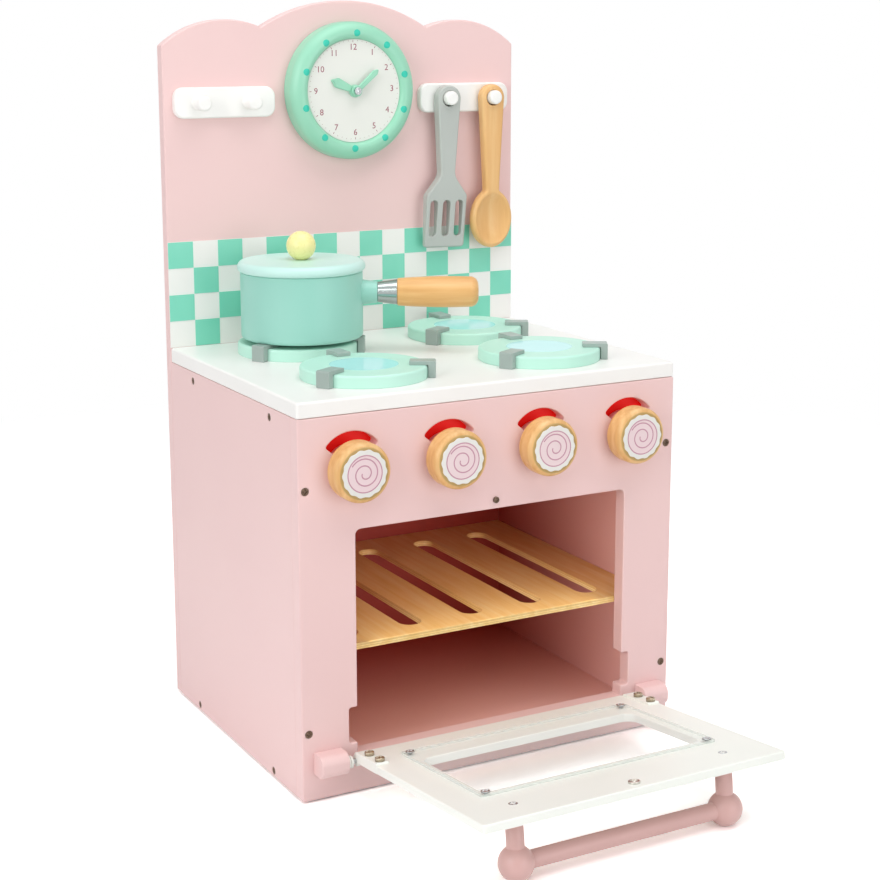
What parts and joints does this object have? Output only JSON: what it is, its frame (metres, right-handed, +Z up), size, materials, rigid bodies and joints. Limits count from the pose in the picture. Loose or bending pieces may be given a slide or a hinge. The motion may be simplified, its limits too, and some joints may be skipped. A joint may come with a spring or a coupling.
{
  "type": "toy oven",
  "caption": "Painted wooden toy cooker with a drop-down windowed door, slotted shelf, turning knobs, hob with pan, and a tall scalloped back with a clock and peg rails.",
  "frame": {"origin": "on the floor, under the middle of the cabinet's footprint", "axes": "+X to the right as seen from the front, +Y to the back, +Z up"},
  "size_m": [0.335, 0.4736, 0.5989],
  "materials": {
    "pink_paint": "satin paint on wood board",
    "white_paint": "satin paint on wood board",
    "teal_paint": "satin print",
    "mint_paint": "satin paint on wood",
    "grey_paint": "satin paint on wood",
    "bare_wood": "clear satin varnish",
    "icing_print": "printed film",
    "red_paint": "satin paint on wood",
    "clear_pane": "clear and polished",
    "steel": "zinc plated",
    "dark_steel": "blackened",
    "handle_paint": "satin paint on wood",
    "pan_paint": "satin paint on wood",
    "lid_paint": "satin paint on wood",
    "bright_metal": "polished",
    "yellow_paint": "satin paint on wood"
  },
  "bodies": {
    "cabinet": {"side_panel_left": "pink_paint", "side_panel_right": "pink_paint", "back_panel": "pink_paint", "front_panel": "pink_paint", "floor_panel": "pink_paint", "oven_ceiling": "pink_paint", "hob_top": "white_paint", "top_battens": "pink_paint", "shelf_cleats": "pink_paint", "oven_shelf": "bare_wood", "splashback_sheet": "white_paint", "splashback_tiles": "teal_paint", "peg_rails": "white_paint", "rail_pegs": "white_paint", "clock_ring": "mint_paint", "clock_face": "white_paint", "clock_dots": "teal_paint", "clock_screw": "steel", "burner_front_left": "mint_paint", "burner_front_right": "mint_paint", "burner_back_left": "mint_paint", "burner_back_right": "mint_paint", "pan_support_front_left": "grey_paint", "pan_support_front_right": "grey_paint", "pan_support_back_left": "grey_paint", "pan_support_back_right": "grey_paint", "hinge_blocks": "pink_paint", "hinge_pins": "steel", "hinge_washers": "white_paint", "cabinet_screws": "dark_steel"},
    "door": {"door_panel": "white_paint", "door_window": "clear_pane", "window_screws": "steel", "door_leaves": "white_paint", "leaf_screws": "steel", "door_magnet": "steel", "handle_bar": "handle_paint", "handle_posts": "handle_paint", "handle_screws": "steel"},
    "hour_hand_body": {"hour_hand": "mint_paint"},
    "minute_hand_body": {"minute_hand": "mint_paint"},
    "pan_body": {"pot_body": "pan_paint", "pot_ferrule": "bright_metal", "pot_handle": "bare_wood"},
    "lid_body": {"pot_lid": "lid_paint", "lid_knob": "yellow_paint"},
    "spatula_body": {"spatula": "grey_paint"},
    "spoon_body": {"spoon": "bare_wood"},
    "knob_1_turn": {"knob_1": "bare_wood", "knob_icing_1": "icing_print", "knob_spindle_1": "red_paint"},
    "knob_2_turn": {"knob_2": "bare_wood", "knob_icing_2": "icing_print", "knob_spindle_2": "red_paint"},
    "knob_3_turn": {"knob_3": "bare_wood", "knob_icing_3": "icing_print", "knob_spindle_3": "red_paint"},
    "knob_4_turn": {"knob_4": "bare_wood", "knob_icing_4": "icing_print", "knob_spindle_4": "red_paint"}
  },
  "joints": [
    {"name": "door_hinge", "type": "hinge", "parent": "cabinet", "child": "door", "pos_m": [0, -0.1443, 0.0306], "axis": [-1, 0, 0], "range_deg": [0, 83.6]},
    {"name": "knob_1_spin", "type": "hinge", "parent": "cabinet", "child": "knob_1_turn", "pos_m": [-0.123, -0.135, 0.2565], "axis": [0, -1, 0], "continuous": true},
    {"name": "knob_2_spin", "type": "hinge", "parent": "cabinet", "child": "knob_2_turn", "pos_m": [-0.041, -0.135, 0.2565], "axis": [0, -1, 0], "continuous": true},
    {"name": "knob_3_spin", "type": "hinge", "parent": "cabinet", "child": "knob_3_turn", "pos_m": [0.041, -0.135, 0.2565], "axis": [0, -1, 0], "continuous": true},
    {"name": "knob_4_spin", "type": "hinge", "parent": "cabinet", "child": "knob_4_turn", "pos_m": [0.123, -0.135, 0.2565], "axis": [0, -1, 0], "continuous": true},
    {"name": "hour_hand_turn", "type": "hinge", "parent": "cabinet", "child": "hour_hand_body", "pos_m": [0, 0.108, 0.5226], "axis": [0, 1, 0], "continuous": true},
    {"name": "minute_hand_turn", "type": "hinge", "parent": "cabinet", "child": "minute_hand_body", "pos_m": [0, 0.104, 0.5226], "axis": [0, 1, 0], "continuous": true},
    {"name": "pan_lift", "type": "slide", "parent": "cabinet", "child": "pan_body", "axis": [0, 0, 1], "range_m": [0, 0.05]},
    {"name": "lid_lift", "type": "slide", "parent": "pan_body", "child": "lid_body", "axis": [0, 0, 1], "range_m": [0, 0.05]},
    {"name": "spatula_pull", "type": "slide", "parent": "cabinet", "child": "spatula_body", "axis": [0, -1, 0], "range_m": [0, 0.03]},
    {"name": "spoon_pull", "type": "slide", "parent": "cabinet", "child": "spoon_body", "axis": [0, -1, 0], "range_m": [0, 0.03]}
  ]
}
